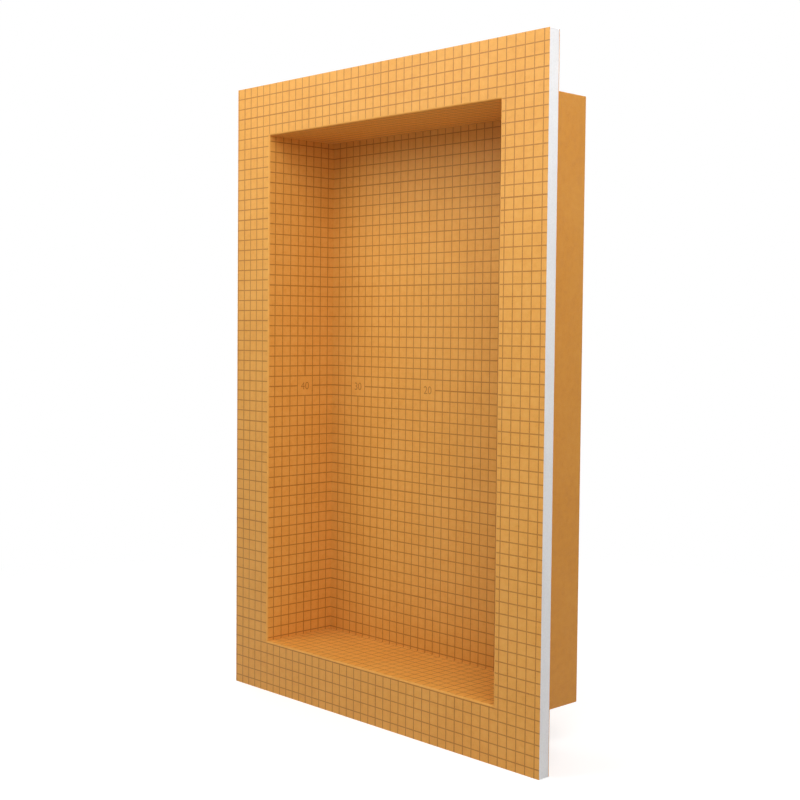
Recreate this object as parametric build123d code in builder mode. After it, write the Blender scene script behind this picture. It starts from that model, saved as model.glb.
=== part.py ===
"""Shower niche insert of fleece-faced foam board, in millimetres.

A tray folded from one board is glued into the mitred opening of a flat flange board.
X runs across the front, Y into the wall and Z up. The origin is the opening's centre on
the flange's rear face, which lies against the wall framing.
"""

import os

from build123d import *

# Flange board
FLANGE_WIDTH = 406.4
FLANGE_HEIGHT = 609.6
FLANGE_BOARD = 12.7
FACING = 0.4

# Recess
OPENING_WIDTH = 304.8
OPENING_HEIGHT = 508.0
RECESS_DEPTH = 85.7

# Board of the folded box, and the bend of its outer facing round the back
BOX_BOARD = 12.7
FOLD_RADIUS = 1.5

# Places along Y, and the box's outer size
FRONT = -FLANGE_BOARD
CORE_FRONT = FRONT + FACING
CORE_BACK = -FACING
RECESS_BACK = FRONT + RECESS_DEPTH
BOX_BACK = RECESS_BACK + BOX_BOARD
BOX_WIDTH = OPENING_WIDTH + 2 * BOX_BOARD
BOX_HEIGHT = OPENING_HEIGHT + 2 * BOX_BOARD


def across(depth):
    """Plane parallel to the flange at a depth along Y: its x runs up, its normal into the wall."""
    return Plane.ZX.offset(depth)


# Wedge ring and window together: the space that the mitred rim of the box fills in the flange
with BuildPart() as mitre_plug:
    with BuildSketch(across(FRONT)):
        Rectangle(OPENING_HEIGHT, OPENING_WIDTH)
    with BuildSketch(across(0)):
        Rectangle(BOX_HEIGHT, BOX_WIDTH)
    loft()


def flange_layer(front, back):
    """One layer of the flange board between two depths, cut to the mitred opening."""
    with BuildPart() as layer:
        with BuildSketch(across(front)):
            Rectangle(FLANGE_HEIGHT, FLANGE_WIDTH)
        extrude(amount=back - front)
        add(mitre_plug.part, mode=Mode.SUBTRACT)
    return layer


# Flange: a foam core between two fleece facings
flange_front_facing = flange_layer(FRONT, CORE_FRONT)
flange_core = flange_layer(CORE_FRONT, CORE_BACK)
flange_rear_facing = flange_layer(CORE_BACK, 0)

# Box: back and four walls folded from one board, its front rim mitred to fit the flange
with BuildPart() as niche_box:
    with BuildSketch(across(0)):
        Rectangle(BOX_HEIGHT, BOX_WIDTH)
    extrude(amount=BOX_BACK)
    fillet(niche_box.faces().sort_by(Axis.Y)[-1].edges(), radius=FOLD_RADIUS)
    add(mitre_plug.part)
    with BuildSketch(across(FRONT)):
        Rectangle(OPENING_HEIGHT, OPENING_WIDTH)
    extrude(amount=RECESS_DEPTH, mode=Mode.SUBTRACT)

pieces = {
    "flange_front_facing": flange_front_facing,
    "flange_core": flange_core,
    "flange_rear_facing": flange_rear_facing,
    "niche_box": niche_box,
}

os.makedirs("parts", exist_ok=True)
for label, piece in pieces.items():
    piece.part.label = label
    export_step(piece.part, f"parts/{label}.step")
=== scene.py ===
"""Shower niche insert of fleece-faced foam board, finished for a picture. Lengths are in metres.

The flange is a foam board between two fleece facings, and the front one is printed with a
centimetre grid. The box behind it is one such board, grooved, folded and glued, with the print
inside. X runs across the front, Y into the wall and Z up.
"""

import math

import bmesh
import bpy
from mathutils import Euler, Matrix, Vector


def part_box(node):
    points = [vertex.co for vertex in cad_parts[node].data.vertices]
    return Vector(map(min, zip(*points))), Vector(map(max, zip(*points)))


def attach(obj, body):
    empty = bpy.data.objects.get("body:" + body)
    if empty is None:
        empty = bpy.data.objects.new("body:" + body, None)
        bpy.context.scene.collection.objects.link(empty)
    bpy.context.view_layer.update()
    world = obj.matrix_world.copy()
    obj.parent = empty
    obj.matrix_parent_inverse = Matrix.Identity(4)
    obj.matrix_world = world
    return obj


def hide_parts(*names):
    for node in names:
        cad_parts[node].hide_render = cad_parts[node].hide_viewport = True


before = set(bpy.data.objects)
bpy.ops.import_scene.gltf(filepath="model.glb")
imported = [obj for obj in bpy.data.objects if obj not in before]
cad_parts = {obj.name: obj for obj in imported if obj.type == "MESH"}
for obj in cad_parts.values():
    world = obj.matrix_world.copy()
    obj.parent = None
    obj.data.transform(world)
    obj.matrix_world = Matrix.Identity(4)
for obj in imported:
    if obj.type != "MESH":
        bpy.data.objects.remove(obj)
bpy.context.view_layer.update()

# Boards, read from the frame: the flange and the box are cut from the same thickness
facing_low, facing_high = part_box("flange_front_facing")
core_low, core_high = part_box("flange_core")
box_low, box_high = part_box("niche_box")
FLANGE_X = facing_high.x
FLANGE_Z = facing_high.z
FRONT = facing_low.y
CORE_FRONT = core_low.y
CORE_BACK = core_high.y
FACING = CORE_FRONT - FRONT
BOARD = -FRONT
OPENING_X = box_high.x - BOARD
OPENING_Z = box_high.z - BOARD
RECESS_BACK = box_high.y - BOARD

# Edges: the front facing rolls into the opening and the foam is cut back under it, the outer facing of
# the box bends round its back, and the glued corners of the box and the foam's edges are a little eased
ROLL = 0.0015
ROLL_SEAT = 0.0004
FOLD = 0.0015
ARC_STEPS = 5
CORNER_EASE = 0.0005
CORNER_STEPS = 3
CORE_EASE = 0.0002
SMOOTH_ANGLE = math.radians(30)
QUARTER_TURN = math.radians(90)
HAIR = 1e-7

# Printed grid: a heavy line every tenth
GRID_ACROSS = 0.0100
GRID_UP = 0.0102
LINE = 0.00100
HEAVY_LINE = 0.00119
HEAVY_EVERY = 10

# Printed panels of the box
BACK, LEFT, RIGHT, FLOOR, CEILING = range(1, 6)

# Where a heavy line of each panel lies
FLANGE_COLUMN = 0.0080
FLANGE_ROW = -0.0318
BACK_COLUMN = -0.0124
BOX_ROW = 0.0039
LEFT_COLUMN = FRONT + 0.0484
RIGHT_COLUMN = RECESS_BACK - 0.0125
FLOOR_ROW = FRONT + 0.0625
CEILING_ROW = RECESS_BACK - 0.0319

# Figures of the printed rule: text, panel, and where along the panel
FIGURES = (
    ("40", LEFT, LEFT_COLUMN),
    ("30", BACK, BACK_COLUMN - HEAVY_EVERY * GRID_ACROSS),
    ("20", BACK, BACK_COLUMN),
    ("10", BACK, BACK_COLUMN + HEAVY_EVERY * GRID_ACROSS),
)
FIGURE_SIZE = 0.0110
FIGURE_DROP = 0.0006
FIGURE_WELD = 0.000002
INK_DEPTH = 0.00002

# Fibres of the fleece: length and width, how far and how finely they stray, the ways they lie in a sheet,
# the noise levels between which one comes up, and how much it hides of the felt
FIBRE_LENGTH = 0.014
FIBRE_WIDTH = 0.00045
FIBRE_STRAY = 0.0030
STRAY_SCALE = 110
FIBRE_WAYS = (math.radians(15), math.radians(75), math.radians(135))
FIBRE_EDGE = (0.52, 0.64)
FIBRE_COVER = 0.45

# Felt of the fleece: scales of its broad tones, its clumps and its grain, how they share in its colour
# and its nap, and how matt it is
TONE_SCALE = 22
CLUMP_SCALE = 190
CLUMP_ROUGHNESS = 0.6
GRAIN_SCALE = 2400
TONE_SHARE = 0.35
FELT_STOPS = (0.30, 0.50, 0.72)
MATT_STOPS = (0.30, 0.70)
FLEECE_MATT = (0.42, 0.54)
FLEECE_GLOSS = 0.30
NAP_GRAIN = 0.3
NAP_STRENGTH = 0.45
NAP_DEPTH = 0.0002

# Ink: how far it covers where it soaks in little and much
SOAK_FIBRE = 0.5
SOAK_STOPS = (0.30, 0.75)
INK_COVER = (0.72, 0.57)

# Foam: scales of its cells and clouds, the cells' draw along the cut, its finish and how far light goes in
CELL_SCALE = 1300
CELL_DRAW = (1, 1, 0.45)
CLOUD_SCALE = 60
CELL_SHARE = 0.45
FOAM_STOPS = (0.30, 0.65)
FOAM_MATT = (0.55, 0.75)
FOAM_GLOSS = 0.35
FOAM_GLOW = 0.10
FOAM_REACH = (0.0010, 0.0010, 0.0012)
CELL_STRENGTH = 0.35
CELL_DEPTH = 0.0003

# Colours: the print side of the fleece and its deeper plain side, each as shade, body and fibre
PRINT_SIDE = ((0.690, 0.305, 0.046, 1), (0.750, 0.350, 0.062, 1), (0.795, 0.400, 0.090, 1))
PLAIN_SIDE = ((0.622, 0.240, 0.025, 1), (0.680, 0.279, 0.034, 1), (0.723, 0.324, 0.053, 1))
INK = (0.26, 0.070, 0.006, 1)
FOAM = (0.88, 0.87, 0.87, 1)
FOAM_SHADE = (0.81, 0.80, 0.80, 1)
WHITE = (1, 1, 1, 1)

# Camera at the photo's view
CAMERA_PLACE = (0.8792, -0.8390, 0.0639)
CAMERA_TURN = math.radians(46.585)
CAMERA_TILT = math.radians(-2.652)
CAMERA_ROLL = math.radians(0.504)
LENS = 59.1
SENSOR = 36
SHIFT_X = 0.0294
SHIFT_Y = -0.0142
NEAR_CLIP = 0.05
FAR_CLIP = 50

# Studio
FLOOR_HALF = 6
FLOOR_GAP = 0.0001
FLOOR_NEAR = 0.4
FLOOR_FAR = 1.0
FLOOR_TONE = (0.60, 0.60, 0.60, 1)
FLOOR_BOUNCE = (0.75, 0.75, 0.75, 1)
FLOOR_GLOW = 0.57
AMBIENT = (0.90, 0.95, 1.00, 1)
AMBIENT_LEVEL = 0.04

# Lamps: name, place, aim, size and watts
LAMPS = (
    ("key", (0.70, -0.32, 0.54), (0, 0, 0.06), 0.6, 5.9),
    ("fill", (-0.25, -0.52, 0.56), (0, 0, 0.08), 0.6, 4.6),
    ("low", (0.95, -0.72, -0.14), (0.05, 0, -0.18), 0.4, 1.15),
    ("back", (-0.15, 0.95, 0.55), (0, 0, 0), 0.9, 7),
    ("side", (-0.95, 0.30, 0.40), (-0.15, 0.04, 0), 0.7, 3.2),
)


# Materials

def node(tree, kind, inputs=None, **settings):
    """Adds a shader node with some of its settings and inputs filled in, from values or other sockets."""
    made = tree.nodes.new("ShaderNode" + kind)
    for name, value in settings.items():
        setattr(made, name, value)
    for name, value in (inputs or {}).items():
        if isinstance(value, bpy.types.NodeSocket):
            tree.links.new(value, made.inputs[name])
        else:
            made.inputs[name].default_value = value
    return made


def ramp(tree, factor, stops, colours):
    """Colour ramp with a colour at each stop."""
    made = node(tree, "ValToRGB", {"Fac": factor})
    elements = made.color_ramp.elements
    while len(elements) < len(stops):
        elements.new(0.5)
    for element, place, colour in zip(elements, stops, colours):
        element.position = place
        element.color = colour
    return made.outputs["Color"]


def greys(*values):
    """Colours with the same red, green and blue, one for each value."""
    return [(value, value, value, 1) for value in values]


def new_material(name):
    """A material with its node tree and its shader node."""
    material = bpy.data.materials.new(name)
    material.use_nodes = True
    return material, material.node_tree, material.node_tree.nodes["Principled BSDF"]


def strands(tree):
    """Web of fibres in a sheet's own plane: 1 on a fibre, 0 between."""
    flat = node(tree, "UVMap", uv_map="sheet").outputs["UV"]
    drift = node(
        tree, "TexNoise", {"Vector": flat, "Scale": STRAY_SCALE, "Detail": 1}, noise_dimensions="2D"
    )
    pulled = node(
        tree, "VectorMath", {0: drift.outputs["Color"], "Scale": FIBRE_STRAY}, operation="SCALE"
    ).outputs["Vector"]
    strayed = node(tree, "VectorMath", {0: flat, 1: pulled}, operation="ADD").outputs["Vector"]
    web = 0.0
    for way in FIBRE_WAYS:
        drawn = node(
            tree,
            "Mapping",
            {"Vector": strayed, "Rotation": (0, 0, way), "Scale": (FIBRE_LENGTH, FIBRE_WIDTH, 1)},
            vector_type="TEXTURE",
        ).outputs["Vector"]
        streak = node(
            tree, "TexNoise", {"Vector": drawn, "Scale": 1, "Detail": 1}, noise_dimensions="2D"
        ).outputs["Fac"]
        fibre = ramp(tree, streak, FIBRE_EDGE, greys(0, 1))
        web = node(tree, "Math", {0: web, 1: fibre}, operation="MAXIMUM").outputs["Value"]
    return web


def fleece(name, tones, ink=False):
    """Bonded non-woven fleece: a blotchy felt with a web of paler fibres, bare or under printed ink."""
    material, tree, shader = new_material(name)
    place = node(tree, "TexCoord").outputs["Object"]
    tone = node(tree, "TexNoise", {"Vector": place, "Scale": TONE_SCALE, "Detail": 2}).outputs["Fac"]
    felt = node(
        tree,
        "TexNoise",
        {"Vector": place, "Scale": CLUMP_SCALE, "Detail": 4, "Roughness": CLUMP_ROUGHNESS},
    ).outputs["Fac"]
    grain = node(tree, "TexNoise", {"Vector": place, "Scale": GRAIN_SCALE, "Detail": 2}).outputs["Fac"]
    web = strands(tree)

    blotch = node(tree, "Mix", {"Factor": TONE_SHARE, "A": felt, "B": tone}).outputs["Result"]
    felted = ramp(tree, blotch, FELT_STOPS, tones)
    thread = node(tree, "Math", {0: web, 1: FIBRE_COVER}, operation="MULTIPLY").outputs["Value"]
    colour = node(tree, "Mix", {"Factor": thread, "A": felted, "B": tones[-1]}, data_type="RGBA")
    colour = colour.outputs[2]
    if ink:
        soak = node(tree, "Mix", {"Factor": SOAK_FIBRE, "A": grain, "B": web}).outputs["Result"]
        cover = ramp(tree, soak, SOAK_STOPS, greys(*INK_COVER))
        inked = node(tree, "Mix", {"Factor": cover, "A": colour, "B": INK}, data_type="RGBA")
        colour = inked.outputs[2]
    tree.links.new(colour, shader.inputs["Base Color"])

    matt = ramp(tree, felt, MATT_STOPS, greys(*FLEECE_MATT))
    tree.links.new(matt, shader.inputs["Roughness"])
    shader.inputs["Specular IOR Level"].default_value = FLEECE_GLOSS
    height = node(tree, "Mix", {"Factor": NAP_GRAIN, "A": web, "B": grain}).outputs["Result"]
    bump = node(tree, "Bump", {"Strength": NAP_STRENGTH, "Distance": NAP_DEPTH, "Height": height})
    tree.links.new(bump.outputs["Normal"], shader.inputs["Normal"])
    return material


def foam(name):
    """Sawn edge of extruded foam: fine closed cells, drawn a little along the cut."""
    material, tree, shader = new_material(name)
    place = node(tree, "TexCoord").outputs["Object"]
    drawn = node(tree, "Mapping", {"Vector": place, "Scale": CELL_DRAW}).outputs["Vector"]
    cells = node(tree, "TexVoronoi", {"Vector": drawn, "Scale": CELL_SCALE}).outputs["Distance"]
    cloud = node(tree, "TexNoise", {"Vector": drawn, "Scale": CLOUD_SCALE, "Detail": 4}).outputs["Fac"]
    tint = node(tree, "Mix", {"Factor": CELL_SHARE, "A": cloud, "B": cells}).outputs["Result"]
    colour = ramp(tree, tint, FOAM_STOPS, (FOAM, FOAM_SHADE))
    tree.links.new(colour, shader.inputs["Base Color"])
    matt = ramp(tree, cloud, MATT_STOPS, greys(*FOAM_MATT))
    tree.links.new(matt, shader.inputs["Roughness"])
    shader.inputs["Specular IOR Level"].default_value = FOAM_GLOSS
    shader.inputs["Subsurface Weight"].default_value = FOAM_GLOW
    shader.inputs["Subsurface Radius"].default_value = FOAM_REACH
    bump = node(
        tree, "Bump", {"Strength": CELL_STRENGTH, "Distance": CELL_DEPTH, "Height": cells}, invert=True
    )
    tree.links.new(bump.outputs["Normal"], shader.inputs["Normal"])
    return material


# Modelling

def lay_flat(bm):
    """Maps each face by the two axes that it lies along, in metres."""
    sheet = bm.loops.layers.uv.new("sheet")
    bm.normal_update()
    for face in bm.faces:
        facing = max(range(3), key=lambda axis: abs(face.normal[axis]))
        across, up = [axis for axis in range(3) if axis != facing]
        for loop in face.loops:
            loop[sheet].uv = (loop.vert.co[across], loop.vert.co[up])


def add_piece(bm, name, slot, materials, *stands_for):
    """Makes a piece of the object from a bmesh, which moves with the frame and stands for its nodes."""
    lay_flat(bm)
    mesh = bpy.data.meshes.new(name)
    bm.to_mesh(mesh)
    bm.free()
    mesh.shade_smooth()
    mesh.set_sharp_from_angle(angle=SMOOTH_ANGLE)
    for material in materials:
        mesh.materials.append(material)
    piece = bpy.data.objects.new(name, mesh)
    bpy.context.scene.collection.objects.link(piece)
    shading = piece.modifiers.new("flat_stays_flat", "WEIGHTED_NORMAL")
    shading.keep_sharp = True
    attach(piece, "root")
    if stands_for:
        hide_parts(*stands_for)
    return piece


def draw_in(ring, amount, along):
    """Shrinks a rectangular ring round the opening by an amount on each side, and moves it along Y."""
    reach = [max(abs(vert.co[axis]) for vert in ring) for axis in range(3)]
    for vert in ring:
        for axis in (0, 2):
            vert.co[axis] *= 1 - amount / reach[axis]
        vert.co.y += along


def arc_steps(radius):
    """Steps along a quarter arc, each as how far it goes on in its first direction and how far aside."""
    turns = [step / ARC_STEPS * QUARTER_TURN for step in range(ARC_STEPS + 1)]
    steps = []
    for start, end in zip(turns, turns[1:]):
        onward = radius * (math.sin(end) - math.sin(start))
        aside = radius * (math.cos(start) - math.cos(end))
        steps.append((onward, aside))
    return steps


def cut(bm, axis, place, panel=None, ids=()):
    """Cuts the flat faces, or those of some panels, along a plane across an axis."""
    faces = []
    for face in bm.faces:
        if panel is not None and face[panel] not in ids:
            continue
        reach = [vert.co[axis] for vert in face.verts]
        if min(reach) < place - HAIR and max(reach) > place + HAIR:
            faces.append(face)
    edges = {edge for face in faces for edge in face.edges}
    verts = {vert for face in faces for vert in face.verts}
    point = Vector((0, 0, 0))
    point[axis] = place
    normal = Vector((0, 0, 0))
    normal[axis] = 1
    bmesh.ops.bisect_plane(
        bm, geom=[*faces, *edges, *verts], dist=HAIR, plane_co=point, plane_no=normal
    )


def rule(low, high, heavy, pitch):
    """Printed lines between two places, as (place, width), counted from a heavy one."""
    first = math.ceil((low + HEAVY_LINE - heavy) / pitch)
    last = math.floor((high - HEAVY_LINE - heavy) / pitch)
    lines = []
    for count in range(first, last + 1):
        width = HEAVY_LINE if count % HEAVY_EVERY == 0 else LINE
        lines.append((heavy + count * pitch, width))
    return lines


def cut_rule(bm, axis, lines, panel=None, ids=()):
    """Cuts panels along both sides of each printed line."""
    for place, width in lines:
        cut(bm, axis, place - width / 2, panel, ids)
        cut(bm, axis, place + width / 2, panel, ids)


def on_line(place, lines):
    """Whether a place lies in one of the printed lines."""
    return any(abs(place - middle) < width / 2 for middle, width in lines)


def by_hole(vert, hole_x, hole_z):
    """Whether a corner lies on the edge of a hole."""
    return abs(vert.co.x) < hole_x + HAIR and abs(vert.co.z) < hole_z + HAIR


def framed_sheet(front, hole_x, hole_z):
    """The flange's outline at a depth along Y, facing forwards, with its hole taken out."""
    bm = bmesh.new()
    bmesh.ops.create_grid(bm, x_segments=1, y_segments=1, size=1)
    bmesh.ops.rotate(bm, verts=bm.verts, matrix=Matrix.Rotation(QUARTER_TURN, 3, "X"))
    bmesh.ops.scale(bm, vec=(FLANGE_X, 1, FLANGE_Z), verts=bm.verts)
    bmesh.ops.translate(bm, vec=(0, front, 0), verts=bm.verts)
    for axis, half in ((0, hole_x), (2, hole_z)):
        cut(bm, axis, -half)
        cut(bm, axis, half)
    window = [face for face in bm.faces if all(by_hole(vert, hole_x, hole_z) for vert in face.verts)]
    bmesh.ops.delete(bm, geom=window, context="FACES")
    return bm


def printed_facing(bare, inked):
    """Front facing: printed fleece whose inner edge rolls into the recess, plain."""
    hole_x = OPENING_X + ROLL
    hole_z = OPENING_Z + ROLL
    bm = framed_sheet(FRONT, hole_x, hole_z)
    columns = rule(-FLANGE_X, FLANGE_X, FLANGE_COLUMN, GRID_ACROSS)
    rows = rule(-FLANGE_Z, FLANGE_Z, FLANGE_ROW, GRID_UP)
    cut_rule(bm, 0, columns)
    cut_rule(bm, 2, rows)
    for face in bm.faces:
        middle = face.calc_center_median()
        if on_line(middle.x, columns) or on_line(middle.z, rows):
            face.material_index = 1

    rim = [edge for edge in bm.edges if all(by_hole(vert, hole_x, hole_z) for vert in edge.verts)]
    for onward, aside in arc_steps(ROLL):
        made = bmesh.ops.extrude_edge_only(bm, edges=rim)["geom"]
        for item in made:
            if isinstance(item, bmesh.types.BMFace):
                item.material_index = 0
        draw_in([item for item in made if isinstance(item, bmesh.types.BMVert)], onward, aside)
        rim = [item for item in made if isinstance(item, bmesh.types.BMEdge)]
    bm.normal_update()
    bmesh.ops.solidify(bm, geom=bm.faces[:], thickness=FACING)
    for vert in bm.verts:
        vert.co.y = min(vert.co.y, FRONT + ROLL)
    return add_piece(bm, "printed_facing", "printed_fleece", (bare, inked), "flange_front_facing")


def flange_layer(front, back):
    """A layer of the flange board between two depths, whose hole widens with depth as the mitre does."""
    hole_x = OPENING_X + front - FRONT
    hole_z = OPENING_Z + front - FRONT
    bm = framed_sheet(front, hole_x, hole_z)
    bmesh.ops.solidify(bm, geom=bm.faces[:], thickness=back - front)
    middle = (front + back) / 2
    rear = [vert for vert in bm.verts if vert.co.y > middle and by_hole(vert, hole_x, hole_z)]
    draw_in(rear, front - back, 0)
    return bm


def foam_core(white):
    """Foam between the facings, its outer edges a little eased and its hole cut back under the roll."""
    bm = flange_layer(CORE_FRONT, CORE_BACK)
    cut(bm, 1, CORE_FRONT + ROLL_SEAT)
    seat = [vert for vert in bm.verts if by_hole(vert, OPENING_X + FACING, OPENING_Z + FACING)]
    draw_in(seat, -ROLL, 0)
    outer = []
    for edge in bm.edges:
        round_x = all(abs(vert.co.x) > FLANGE_X - HAIR for vert in edge.verts)
        round_z = all(abs(vert.co.z) > FLANGE_Z - HAIR for vert in edge.verts)
        if (round_x or round_z) and edge.calc_face_angle() > SMOOTH_ANGLE:
            outer.append(edge)
    bmesh.ops.bevel(
        bm, geom=outer, offset=CORE_EASE, affect="EDGES", segments=1, profile=0.5, material=-1
    )
    return add_piece(bm, "foam_core", "foam", (white,), "flange_core")


def rear_facing(plain):
    """Plain fleece on the flange's rear face."""
    bm = flange_layer(CORE_BACK, 0)
    return add_piece(bm, "rear_facing", "plain_fleece", (plain,), "flange_rear_facing")


def push(bm, face, draw, along):
    """Extrudes a face along Y, draws its corners in, and gives the moved face."""
    moved = bmesh.ops.extrude_discrete_faces(bm, faces=[face])["faces"][0]
    draw_in(moved.verts, draw, along)
    return moved


def glued_corners(bm):
    """The edges behind the flange where two side walls of the box meet, round to its back."""
    corners = []
    for edge in bm.edges:
        one, other = edge.verts
        behind = min(one.co.y, other.co.y) > -HAIR
        same_corner = one.co.x * other.co.x > 0 and one.co.z * other.co.z > 0
        if behind and same_corner and max(abs(one.co.x), abs(other.co.x)) > OPENING_X + HAIR:
            corners.append(edge)
    return corners


def wall_of(face):
    """Which wall of the recess a face lies on."""
    middle = face.calc_center_median()
    if abs(middle.x) > abs(middle.z):
        return LEFT if middle.x < 0 else RIGHT
    return FLOOR if middle.z < 0 else CEILING


def beside_figure(panel, place):
    """Whether a place is in the blank of two squares each way that a figure stands in."""
    for text, figure_panel, along in FIGURES:
        across = place.y if panel == LEFT else place.x
        near = abs(across - along) < GRID_ACROSS - HEAVY_LINE
        level = abs(place.z - BOX_ROW) < GRID_UP - HEAVY_LINE
        if panel == figure_panel and near and level:
            return True
    return False


def box_print(bm, panel):
    """Cuts the recess along the printed lines and inks them, with a blank round each figure."""
    columns = rule(-OPENING_X, OPENING_X, BACK_COLUMN, GRID_ACROSS)
    rows = rule(-OPENING_Z, OPENING_Z, BOX_ROW, GRID_UP)
    depths = {
        LEFT: rule(FRONT + ROLL, RECESS_BACK, LEFT_COLUMN, GRID_ACROSS),
        RIGHT: rule(FRONT + ROLL, RECESS_BACK, RIGHT_COLUMN, GRID_ACROSS),
        FLOOR: rule(FRONT + ROLL, RECESS_BACK, FLOOR_ROW, GRID_UP),
        CEILING: rule(FRONT + ROLL, RECESS_BACK, CEILING_ROW, GRID_UP),
    }
    cut_rule(bm, 2, rows, panel, (BACK, LEFT, RIGHT))
    cut_rule(bm, 0, columns, panel, (BACK, FLOOR, CEILING))
    for wall, lines in depths.items():
        cut_rule(bm, 1, lines, panel, (wall,))
    for face in bm.faces:
        wall = face[panel]
        if wall == 0:
            continue
        middle = face.calc_center_median()
        printed = wall != BACK and on_line(middle.y, depths[wall])
        printed = printed or (wall not in (FLOOR, CEILING) and on_line(middle.z, rows))
        printed = printed or (wall not in (LEFT, RIGHT) and on_line(middle.x, columns))
        if printed and not beside_figure(wall, middle):
            face.material_index = 1


def folded_box(bare, inked, outer):
    """Box folded from one board: outer facing bent round the back, mitred rim, and print inside."""
    bm = bmesh.new()
    panel = bm.faces.layers.int.new("panel")
    depth = box_high.y - FOLD
    bmesh.ops.create_cube(bm, size=1)
    bmesh.ops.scale(bm, vec=(2 * box_high.x, depth, 2 * box_high.z), verts=bm.verts)
    bmesh.ops.translate(bm, vec=(0, depth / 2, 0), verts=bm.verts)

    back = max(bm.faces, key=lambda face: face.calc_center_median().y)
    rim = min(bm.faces, key=lambda face: face.calc_center_median().y)
    for onward, aside in arc_steps(FOLD):
        back = push(bm, back, aside, onward)
    rim = push(bm, rim, BOARD - ROLL, ROLL - BOARD)
    rim = push(bm, rim, ROLL, 0)
    recess = push(bm, rim, 0, RECESS_BACK - FRONT - ROLL)
    recess[panel] = BACK
    for edge in recess.edges:
        for face in edge.link_faces:
            if face is not recess:
                face[panel] = wall_of(face)
    bmesh.ops.bevel(
        bm,
        geom=glued_corners(bm),
        offset=CORNER_EASE,
        affect="EDGES",
        segments=CORNER_STEPS,
        profile=0.5,
        material=-1,
    )
    for face in bm.faces:
        if face[panel] == 0:
            face.material_index = 2
    box_print(bm, panel)
    return add_piece(bm, "folded_box", "box_fleece", (bare, inked, outer), "niche_box")


def rule_figure(text, panel, along, inked):
    """A figure of the rule, printed on the back or the left wall."""
    curve = bpy.data.curves.new("figure", "FONT")
    curve.body = text
    curve.size = FIGURE_SIZE
    curve.align_x = "CENTER"
    curve.align_y = "CENTER"
    curve.extrude = INK_DEPTH / 2
    writing = bpy.data.objects.new("figure", curve)
    bpy.context.scene.collection.objects.link(writing)
    bpy.context.view_layer.update()
    mesh = bpy.data.meshes.new_from_object(writing)
    bpy.data.objects.remove(writing)
    turn = Matrix.Rotation(QUARTER_TURN, 4, "X")
    spot = Vector((along, RECESS_BACK - INK_DEPTH / 2, BOX_ROW - FIGURE_DROP))
    if panel == LEFT:
        turn = Matrix.Rotation(QUARTER_TURN, 4, "Z") @ turn
        spot = Vector((-OPENING_X + INK_DEPTH / 2, along, BOX_ROW - FIGURE_DROP))
    mesh.transform(Matrix.Translation(spot) @ turn)
    bm = bmesh.new()
    bm.from_mesh(mesh)
    bpy.data.meshes.remove(mesh)
    bmesh.ops.remove_doubles(bm, verts=bm.verts, dist=FIGURE_WELD)
    return add_piece(bm, "rule_figure_" + text, "printed_fleece", (inked,))


# Studio

def softbox(name, place, aim, size, watts):
    """Square soft light that looks at a point."""
    lamp = bpy.data.lights.new(name, "AREA")
    lamp.shape = "SQUARE"
    lamp.size = size
    lamp.energy = watts
    light = bpy.data.objects.new(name, lamp)
    light.location = place
    light.rotation_euler = (Vector(aim) - Vector(place)).to_track_quat("-Z", "Y").to_euler()
    bpy.context.scene.collection.objects.link(light)


def seen_rays(tree):
    """1 for rays that show the background itself, directly or in a reflection."""
    path = node(tree, "LightPath").outputs
    mirrored = node(
        tree, "Math", {0: path["Is Camera Ray"], 1: path["Is Glossy Ray"]}, operation="MAXIMUM"
    ).outputs["Value"]
    return node(
        tree, "Math", {0: mirrored, 1: path["Is Transmission Ray"]}, operation="MAXIMUM"
    ).outputs["Value"]


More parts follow.
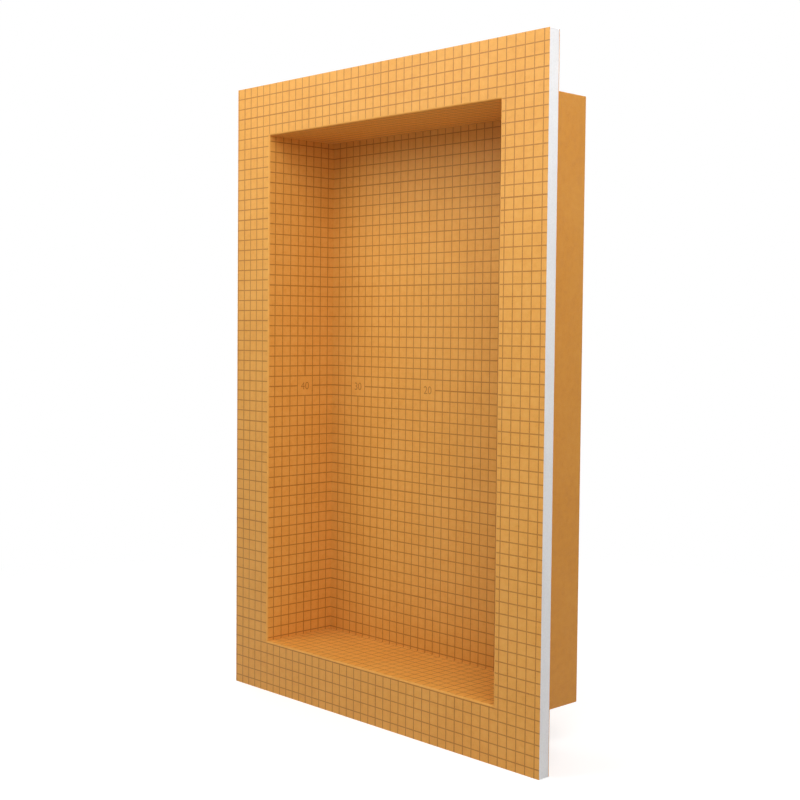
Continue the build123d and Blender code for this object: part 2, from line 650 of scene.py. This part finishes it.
def white_floor():
    """Pale floor a hair under the flange: white where it shows, with its shadow, and a dimmer reflector."""
    bm = bmesh.new()
    bmesh.ops.create_grid(bm, x_segments=1, y_segments=1, size=FLOOR_HALF)
    bmesh.ops.translate(bm, vec=(0, 0, -FLANGE_Z - FLOOR_GAP), verts=bm.verts)
    mesh = bpy.data.meshes.new("floor")
    bm.to_mesh(mesh)
    bm.free()
    material = bpy.data.materials.new("white_floor")
    material.use_nodes = True
    tree = material.node_tree
    tree.nodes.clear()
    shown = node(tree, "BsdfDiffuse", {"Color": FLOOR_TONE}).outputs["BSDF"]
    glow = node(tree, "Emission", {"Color": WHITE, "Strength": FLOOR_GLOW}).outputs["Emission"]
    lit = node(tree, "AddShader", {0: shown, 1: glow}).outputs["Shader"]
    away = node(tree, "TexCoord").outputs["Object"]
    away = node(tree, "VectorMath", {0: away}, operation="LENGTH").outputs["Value"]
    away = node(
        tree, "MapRange", {"Value": away, "From Min": FLOOR_NEAR, "From Max": FLOOR_FAR}
    ).outputs["Result"]
    white = node(tree, "Emission", {"Color": WHITE, "Strength": 1}).outputs["Emission"]
    lit = node(tree, "MixShader", {0: away, 1: lit, 2: white}).outputs["Shader"]
    bounce = node(tree, "BsdfDiffuse", {"Color": FLOOR_BOUNCE}).outputs["BSDF"]
    mixed = node(tree, "MixShader", {0: seen_rays(tree), 1: bounce, 2: lit}).outputs["Shader"]
    node(tree, "OutputMaterial", {"Surface": mixed})
    mesh.materials.append(material)
    floor = bpy.data.objects.new("floor", mesh)
    bpy.context.scene.collection.objects.link(floor)


def white_world():
    """White behind the object, and a soft even light from all round."""
    world = bpy.data.worlds.new("studio")
    world.use_nodes = True
    tree = world.node_tree
    tree.nodes.clear()
    shown = node(tree, "Background", {"Color": WHITE, "Strength": 1}).outputs["Background"]
    soft = node(tree, "Background", {"Color": AMBIENT, "Strength": AMBIENT_LEVEL}).outputs["Background"]
    mixed = node(tree, "MixShader", {0: seen_rays(tree), 1: soft, 2: shown}).outputs["Shader"]
    node(tree, "OutputWorld", {"Surface": mixed})
    bpy.context.scene.world = world


def camera():
    """Camera at the photo's place, turn and lens."""
    lens = bpy.data.cameras.new("camera")
    lens.lens = LENS
    lens.sensor_width = SENSOR
    lens.shift_x = SHIFT_X
    lens.shift_y = SHIFT_Y
    lens.clip_start = NEAR_CLIP
    lens.clip_end = FAR_CLIP
    eye = bpy.data.objects.new("camera", lens)
    aim = Euler((QUARTER_TURN + CAMERA_TILT, 0, CAMERA_TURN)).to_matrix()
    aim = aim @ Matrix.Rotation(CAMERA_ROLL, 3, "Z")
    eye.matrix_world = Matrix.Translation(CAMERA_PLACE) @ aim.to_4x4()
    bpy.context.scene.collection.objects.link(eye)
    bpy.context.scene.camera = eye


bare_fleece = fleece("orange_fleece", PRINT_SIDE)
inked_fleece = fleece("printed_ink", PRINT_SIDE, ink=True)
plain_fleece = fleece("plain_fleece", PLAIN_SIDE)
white_foam = foam("white_foam")

printed_facing(bare_fleece, inked_fleece)
foam_core(white_foam)
rear_facing(plain_fleece)
folded_box(bare_fleece, inked_fleece, plain_fleece)
for text, panel, along in FIGURES:
    rule_figure(text, panel, along, inked_fleece)

white_floor()
white_world()
for lamp in LAMPS:
    softbox(*lamp)
camera()
bpy.context.scene.view_settings.view_transform = "Standard"
